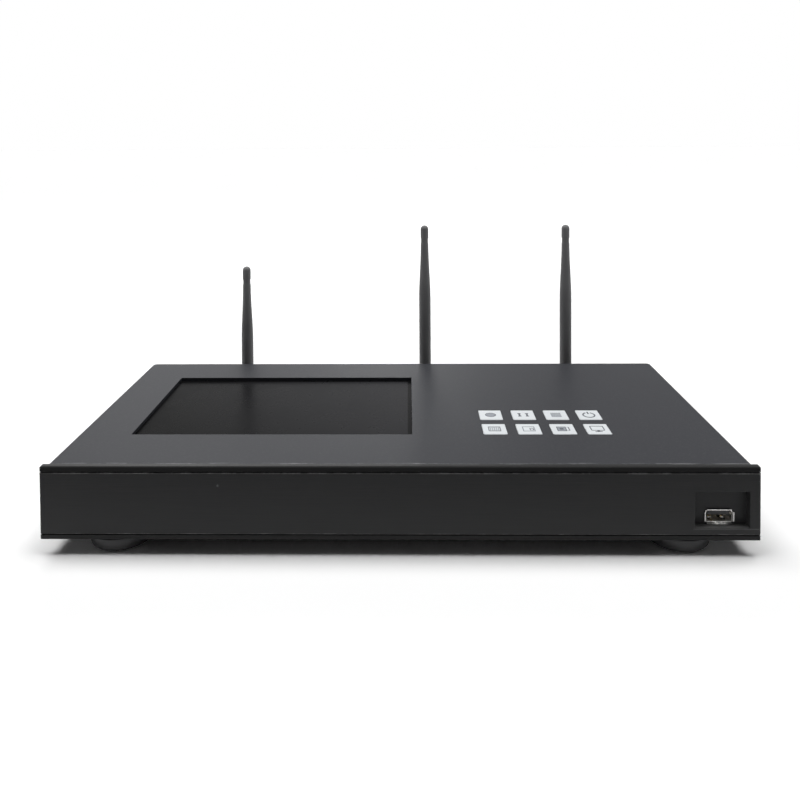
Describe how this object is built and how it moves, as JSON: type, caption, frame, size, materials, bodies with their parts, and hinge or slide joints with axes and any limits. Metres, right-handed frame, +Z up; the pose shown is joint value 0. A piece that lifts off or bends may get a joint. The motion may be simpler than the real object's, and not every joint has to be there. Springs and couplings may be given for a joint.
{
  "type": "media player",
  "caption": "Flat desktop media player with a sunk screen and flush keys in its top, a front USB socket, a removable drive tray at the back and tilting rubber antennas.",
  "frame": {"origin": "on the table, under the middle of the player's box, antennas included", "axes": "+X to the right of a person who faces the front, +Y to the back, +Z up"},
  "size_m": [0.36, 0.1762, 0.1413],
  "materials": {
    "front_panel_finish": "satin black",
    "cover_paint": "fine satin charcoal paint",
    "steel": "zinc plated",
    "black_screws": "black oxide",
    "nickel": "bright nickel",
    "brass": "gold plated",
    "glass": "smoked, glossy",
    "key_plastic": "light grey satin",
    "black_plastic": "fine moulded",
    "rubber": "satin",
    "circuit_board": "solder mask",
    "ribbon": "amber film",
    "cast_aluminium": "cast"
  },
  "bodies": {
    "console": {"front_panel": "front_panel_finish", "top_cover": "cover_paint", "bottom_chassis": "steel", "rear_panel": "cover_paint", "feet": "black_plastic", "foot_pads": "rubber", "foot_screws": "steel", "screen_glass": "glass", "screen_module": "steel", "screen_bracket": "steel", "screen_screws": "steel", "screen_ribbon": "ribbon", "key_board": "circuit_board", "key_switches": "black_plastic", "usb_shell": "nickel", "usb_tongue": "black_plastic", "usb_board": "circuit_board", "main_board": "circuit_board", "heat_sink": "cast_aluminium", "chips": "black_plastic", "wireless_card": "nickel", "standoffs": "nickel", "board_screws": "steel", "power_socket": "black_plastic", "network_socket": "nickel", "video_sockets": "nickel", "audio_sockets": "black_plastic", "fan_frame": "black_plastic", "fan_screws": "steel", "drive_cage": "steel", "tray_rails": "black_plastic", "drive_socket": "black_plastic", "cage_screws": "steel", "antenna_jacks": "brass", "antenna_nuts": "brass", "case_screws": "black_screws", "panel_screws": "steel"},
    "disc_key": {"key_disc": "key_plastic"},
    "pause_key": {"key_pause": "key_plastic"},
    "list_key": {"key_list": "key_plastic"},
    "power_key": {"key_power": "key_plastic"},
    "pad_key": {"key_pad": "key_plastic"},
    "layout_key": {"key_layout": "key_plastic"},
    "camera_key": {"key_camera": "key_plastic"},
    "monitor_key": {"key_monitor": "key_plastic"},
    "tray": {"drive_tray": "steel", "tray_face": "black_plastic", "hard_drive": "cast_aluminium", "drive_screws": "nickel"},
    "tray_screw": {"thumbscrew": "nickel"},
    "fan_blades": {"fan_rotor": "black_plastic"},
    "left_knuckle": {"knuckle_left": "rubber", "hinge_pin_left": "nickel"},
    "left_antenna": {"whip_left": "rubber"},
    "middle_knuckle": {"knuckle_middle": "rubber", "hinge_pin_middle": "nickel"},
    "middle_antenna": {"whip_middle": "rubber"},
    "right_knuckle": {"knuckle_right": "rubber", "hinge_pin_right": "nickel"},
    "right_antenna": {"whip_right": "rubber"}
  },
  "joints": [
    {"name": "disc_key_press", "type": "slide", "parent": "console", "child": "disc_key", "axis": [0, 0, -1], "range_m": [0, 0.0005], "stiffness_N_per_m": 300},
    {"name": "pause_key_press", "type": "slide", "parent": "console", "child": "pause_key", "axis": [0, 0, -1], "range_m": [0, 0.0005], "stiffness_N_per_m": 300},
    {"name": "list_key_press", "type": "slide", "parent": "console", "child": "list_key", "axis": [0, 0, -1], "range_m": [0, 0.0005], "stiffness_N_per_m": 300},
    {"name": "power_key_press", "type": "slide", "parent": "console", "child": "power_key", "axis": [0, 0, -1], "range_m": [0, 0.0005], "stiffness_N_per_m": 300},
    {"name": "pad_key_press", "type": "slide", "parent": "console", "child": "pad_key", "axis": [0, 0, -1], "range_m": [0, 0.0005], "stiffness_N_per_m": 300},
    {"name": "layout_key_press", "type": "slide", "parent": "console", "child": "layout_key", "axis": [0, 0, -1], "range_m": [0, 0.0005], "stiffness_N_per_m": 300},
    {"name": "camera_key_press", "type": "slide", "parent": "console", "child": "camera_key", "axis": [0, 0, -1], "range_m": [0, 0.0005], "stiffness_N_per_m": 300},
    {"name": "monitor_key_press", "type": "slide", "parent": "console", "child": "monitor_key", "axis": [0, 0, -1], "range_m": [0, 0.0005], "stiffness_N_per_m": 300},
    {"name": "tray_slide", "type": "slide", "parent": "console", "child": "tray", "axis": [0, 1, 0], "range_m": [0, 0.09]},
    {"name": "tray_screw_spin", "type": "hinge", "parent": "tray", "child": "tray_screw", "pos_m": [-0.01323, 0.06398, 0.02003], "axis": [0, 1, 0], "continuous": true},
    {"name": "fan_spin", "type": "hinge", "parent": "console", "child": "fan_blades", "pos_m": [0.15145, 0.05777, 0.0246], "axis": [0, 1, 0], "continuous": true},
    {"name": "left_antenna_swivel", "type": "hinge", "parent": "console", "child": "left_knuckle", "pos_m": [-0.1137, 0.06797, 0.0273], "axis": [0, 1, 0], "range_deg": [-60, 60]},
    {"name": "left_antenna_tilt", "type": "hinge", "parent": "left_knuckle", "child": "left_antenna", "pos_m": [-0.1137, 0.08388, 0.0273], "axis": [1, 0, 0], "range_deg": [-90, 0]},
    {"name": "middle_antenna_swivel", "type": "hinge", "parent": "console", "child": "middle_knuckle", "pos_m": [0.01805, 0.06797, 0.0273], "axis": [0, 1, 0], "range_deg": [-60, 60]},
    {"name": "middle_antenna_tilt", "type": "hinge", "parent": "middle_knuckle", "child": "middle_antenna", "pos_m": [0.01805, 0.08388, 0.0273], "axis": [1, 0, 0], "range_deg": [-90, 0]},
    {"name": "right_antenna_swivel", "type": "hinge", "parent": "console", "child": "right_knuckle", "pos_m": [0.1216, 0.06797, 0.0273], "axis": [0, 1, 0], "range_deg": [-60, 60]},
    {"name": "right_antenna_tilt", "type": "hinge", "parent": "right_knuckle", "child": "right_antenna", "pos_m": [0.1216, 0.08388, 0.0273], "axis": [1, 0, 0], "range_deg": [-90, 0]}
  ]
}
